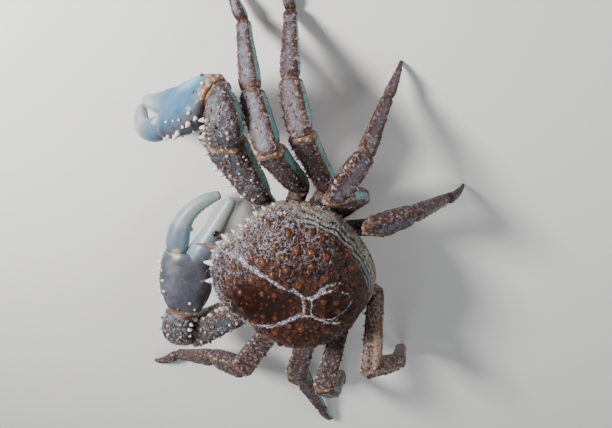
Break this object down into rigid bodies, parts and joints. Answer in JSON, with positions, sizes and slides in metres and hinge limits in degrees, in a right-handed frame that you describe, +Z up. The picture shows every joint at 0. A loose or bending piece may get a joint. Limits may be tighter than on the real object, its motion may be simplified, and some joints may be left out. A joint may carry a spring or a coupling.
{
  "type": "spiny spider crab",
  "caption": "Life-size West Indian spiny spider crab standing on eight walking legs, with a domed spiny shell and two large smooth claws held forwards.",
  "frame": {"origin": "on the floor, under the middle of the box round the whole crab", "axes": "+Y is the way the crab faces, +X is the crab's right side, +Z is up"},
  "size_m": [0.4987, 0.3168, 0.1169],
  "materials": {
    "shell": "rough brown shell with rust tubercles and pale fuzz",
    "limb": "rough red-brown limb shell",
    "claw": "smooth grey-blue claw shell",
    "belly": "cream underside",
    "eye": "black glossy eye"
  },
  "bodies": {
    "root": {"carapace": "shell", "sternum": "belly", "abdomen": "belly", "eye_r": "eye", "antenna_r": "limb", "maxilliped_r": "belly", "eye_l": "eye", "antenna_l": "limb", "maxilliped_l": "belly", "arm_r_base": "limb", "arm_r_merus": "limb", "arm_r_carpus": "limb", "arm_r_propodus": "claw", "arm_r_dactyl": "claw", "leg2_r_base": "limb", "leg2_r_merus": "limb", "leg2_r_carpus": "limb", "leg2_r_propodus": "limb", "leg2_r_dactyl": "limb", "leg3_r_base": "limb", "leg3_r_merus": "limb", "leg3_r_carpus": "limb", "leg3_r_propodus": "limb", "leg3_r_dactyl": "limb", "leg4_r_base": "limb", "leg4_r_merus": "limb", "leg4_r_carpus": "limb", "leg4_r_propodus": "limb", "leg4_r_dactyl": "limb", "leg5_r_base": "limb", "leg5_r_merus": "limb", "leg5_r_carpus": "limb", "leg5_r_propodus": "limb", "leg5_r_dactyl": "limb", "arm_l_base": "limb", "arm_l_merus": "limb", "arm_l_carpus": "limb", "arm_l_propodus": "claw", "arm_l_dactyl": "claw", "leg2_l_base": "limb", "leg2_l_merus": "limb", "leg2_l_carpus": "limb", "leg2_l_propodus": "limb", "leg2_l_dactyl": "limb", "leg3_l_base": "limb", "leg3_l_merus": "limb", "leg3_l_carpus": "limb", "leg3_l_propodus": "limb", "leg3_l_dactyl": "limb", "leg4_l_base": "limb", "leg4_l_merus": "limb", "leg4_l_carpus": "limb", "leg4_l_propodus": "limb", "leg4_l_dactyl": "limb", "leg5_l_base": "limb", "leg5_l_merus": "limb", "leg5_l_carpus": "limb", "leg5_l_propodus": "limb", "leg5_l_dactyl": "limb"}
  },
  "joints": []
}
